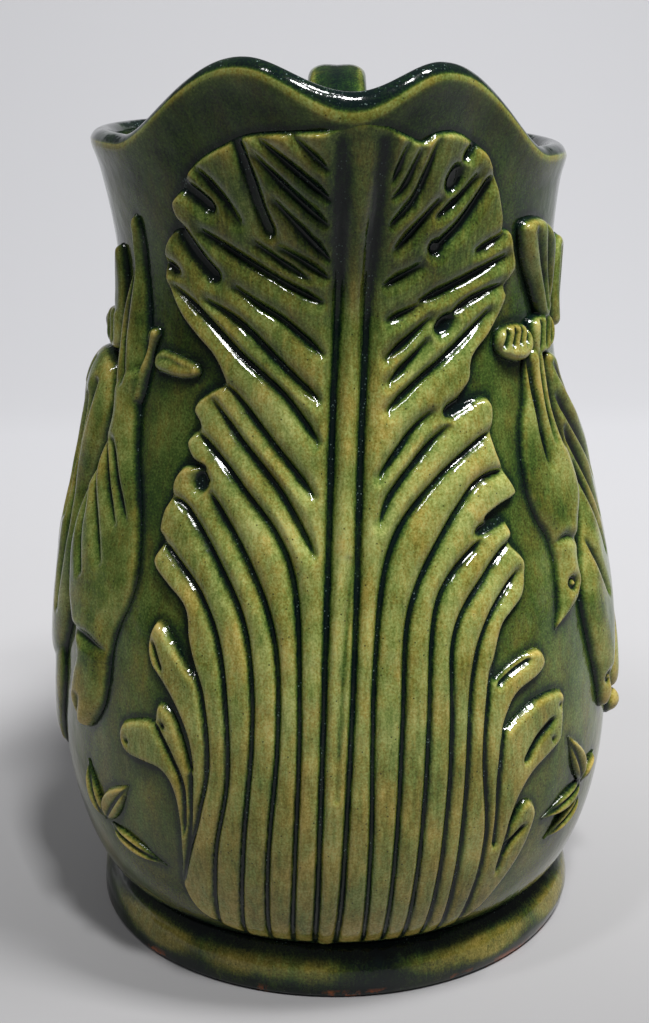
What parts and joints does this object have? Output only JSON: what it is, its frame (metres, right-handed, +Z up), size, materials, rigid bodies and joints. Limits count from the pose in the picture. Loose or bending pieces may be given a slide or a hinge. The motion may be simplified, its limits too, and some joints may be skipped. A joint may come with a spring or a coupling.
{
  "type": "jug",
  "caption": "Pear-shaped glazed jug with a keeled pouring spout, strap handle, foot ring and moulded leaf and hanging-bird relief; holds and pours liquids.",
  "frame": {"origin": "centre of the foot ring on the plane that the jug stands on", "axes": "+Z up along the axis of the body, -Y towards the spout, +X to the right of someone facing the spout"},
  "size_m": [0.1522, 0.1866, 0.2178],
  "materials": {
    "body_glaze": "glossy translucent green lead glaze",
    "foot_glaze": "glossy dark green glaze, scuffed to clay at the edge",
    "handle_glaze": "glossy dark green glaze",
    "leaf_glaze": "glossy olive glaze, dark where it pools",
    "bird_glaze": "glossy olive glaze, dark where it pools",
    "bare_clay": "unglazed buff clay under the foot, thin glaze inside"
  },
  "bodies": {
    "root": {"vessel_wall": "body_glaze", "base_disc": "bare_clay", "foot_ring": "foot_glaze", "spout_collar": "body_glaze", "handle": "handle_glaze", "acanthus_leaf": "leaf_glaze", "bird_left_front": "bird_glaze", "bird_left_back": "bird_glaze", "bird_right_front": "bird_glaze", "bird_right_back": "bird_glaze", "cord_left": "leaf_glaze", "cord_right": "leaf_glaze", "sprig_left": "leaf_glaze", "sprig_right": "leaf_glaze"}
  },
  "joints": []
}
